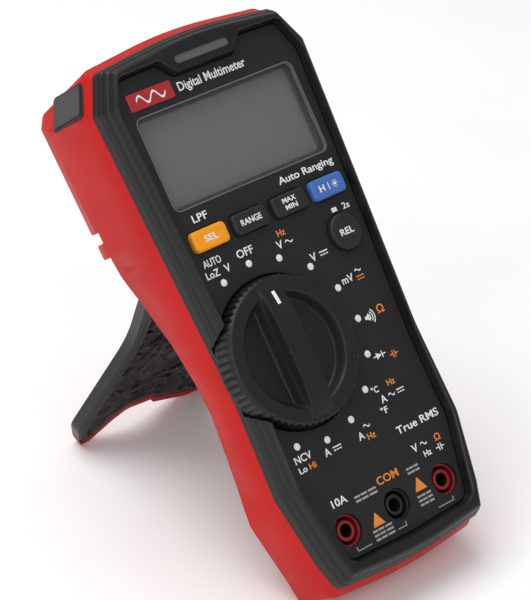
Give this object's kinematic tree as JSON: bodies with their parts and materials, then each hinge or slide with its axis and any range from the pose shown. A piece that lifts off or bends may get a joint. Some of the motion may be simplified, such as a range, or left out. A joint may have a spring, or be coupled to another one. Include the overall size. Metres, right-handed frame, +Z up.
{
  "type": "handheld digital multimeter",
  "caption": "Handheld digital multimeter with rotary selector, push keys, input sockets and display, leaning on its flip-out tilt stand.",
  "frame": {"origin": "middle of the meter's bounding box, on the table it stands on", "axes": "+Z up from the table, -Y the way the face looks, +X to the right of the face; the face leans back at 52.5 degrees to the table on its open stand"},
  "size_m": [0.0782, 0.128, 0.1432],
  "materials": {
    "shell_red": "fine moulded texture, satin red",
    "door_red": "fine moulded texture, satin red",
    "bumper_black": "soft-touch overmould with a low sheen",
    "front_black": "moulded black plastic",
    "panel_charcoal": "fine spark texture, printed",
    "badge_red": "plain moulded badge",
    "lens_clear": "clear polycarbonate window",
    "lcd_grey": "unlit liquid crystal glass",
    "white_plastic": "diffusing white plastic",
    "frame_grey": "moulded grey plastic",
    "zebra": "conductive silicone strip",
    "light_pipe": "smoked frosted window",
    "knob_black": "moulded black, fine texture",
    "pointer_white": "white insert",
    "rotor_cream": "acetal",
    "gold_contact": "gold-plated spring",
    "spring_steel": "spring steel",
    "key_yellow": "satin silicone-coated key",
    "key_grey": "satin silicone-coated key",
    "key_blue": "satin silicone-coated key",
    "silicone_grey": "silicone rubber",
    "socket_red": "moulded insulator",
    "socket_black": "moulded insulator",
    "brass_contact": "turned brass",
    "board_green": "solder resist",
    "screw_steel": "zinc-plated steel",
    "chip_black": "epoxy package",
    "fuse_ceramic": "ceramic tube with metal caps",
    "shunt_metal": "resistance alloy",
    "copper_foil": "copper plate",
    "battery_wrap": "printed metal case, plain",
    "plate_grey": "smooth sensor cover",
    "stand_red": "moulded red plastic",
    "stand_dark": "embossed shard relief with a smooth border",
    "pin_steel": "ground steel pin"
  },
  "bodies": {
    "case": {"badge_plate": "badge_red", "battery_block": "battery_wrap", "battery_contacts": "gold_contact", "board_parts": "chip_black", "board_screws": "screw_steel", "bumper_bezel": "bumper_black", "buzzer": "chip_black", "case_screws": "screw_steel", "case_seal": "silicone_grey", "contact_amp": "brass_contact", "contact_common": "brass_contact", "contact_volt": "brass_contact", "current_shunt": "shunt_metal", "detent_spring": "spring_steel", "display_lens": "lens_clear", "field_sensor": "copper_foil", "front_panel": "panel_charcoal", "front_shell": "front_black", "fuse_clips": "spring_steel", "fuse_main": "fuse_ceramic", "fuse_small": "fuse_ceramic", "hinge_pin": "pin_steel", "keypad_mat": "silicone_grey", "lcd_backlight": "white_plastic", "lcd_glass": "lcd_grey", "lcd_holder": "frame_grey", "light_pipe": "light_pipe", "main_board": "board_green", "rear_shell": "shell_red", "sensor_plate_left": "plate_grey", "sensor_plate_right": "plate_grey", "socket_amp": "socket_red", "socket_common": "socket_black", "socket_volt": "socket_red", "zebra_strips": "zebra"},
    "selector": {"selector_knob": "knob_black", "knob_pointer": "pointer_white", "selector_shaft": "rotor_cream", "switch_rotor": "rotor_cream", "wiper_contacts": "gold_contact"},
    "stand": {"tilt_stand": "stand_red", "stand_cover": "stand_dark"},
    "door": {"battery_door": "door_red", "door_screws": "screw_steel", "door_seal": "silicone_grey"},
    "button_select": {"key_select": "key_yellow"},
    "button_range": {"key_range": "key_grey"},
    "button_minmax": {"key_minmax": "key_grey"},
    "button_hold": {"key_hold": "key_blue"},
    "button_relative": {"key_relative": "key_grey"}
  },
  "joints": [
    {"name": "selector_turn", "type": "hinge", "parent": "case", "child": "selector", "pos_m": [-0.0133, -0.02198, 0.06792], "axis": [0, -0.7934, 0.6088], "range_deg": [-202.5, 22.5]},
    {"name": "stand_swing", "type": "hinge", "parent": "case", "child": "stand", "pos_m": [0, 0.02385, 0.08494], "axis": [1, 0, 0], "range_deg": [-62.1, 0]},
    {"name": "door_lift", "type": "slide", "parent": "case", "child": "door", "axis": [0, 0.7934, -0.6088], "range_m": [0, 0.03]},
    {"name": "press_select", "type": "slide", "parent": "case", "child": "button_select", "axis": [0, 0.7934, -0.6088], "range_m": [0, 0.001], "stiffness_N_per_m": 1200, "springref_m": -0.0003},
    {"name": "press_range", "type": "slide", "parent": "case", "child": "button_range", "axis": [0, 0.7934, -0.6088], "range_m": [0, 0.001], "stiffness_N_per_m": 1200, "springref_m": -0.0003},
    {"name": "press_minmax", "type": "slide", "parent": "case", "child": "button_minmax", "axis": [0, 0.7934, -0.6088], "range_m": [0, 0.001], "stiffness_N_per_m": 1200, "springref_m": -0.0003},
    {"name": "press_hold", "type": "slide", "parent": "case", "child": "button_hold", "axis": [0, 0.7934, -0.6088], "range_m": [0, 0.001], "stiffness_N_per_m": 1200, "springref_m": -0.0003},
    {"name": "press_relative", "type": "slide", "parent": "case", "child": "button_relative", "axis": [0, 0.7934, -0.6088], "range_m": [0, 0.001], "stiffness_N_per_m": 1200, "springref_m": -0.0003}
  ]
}
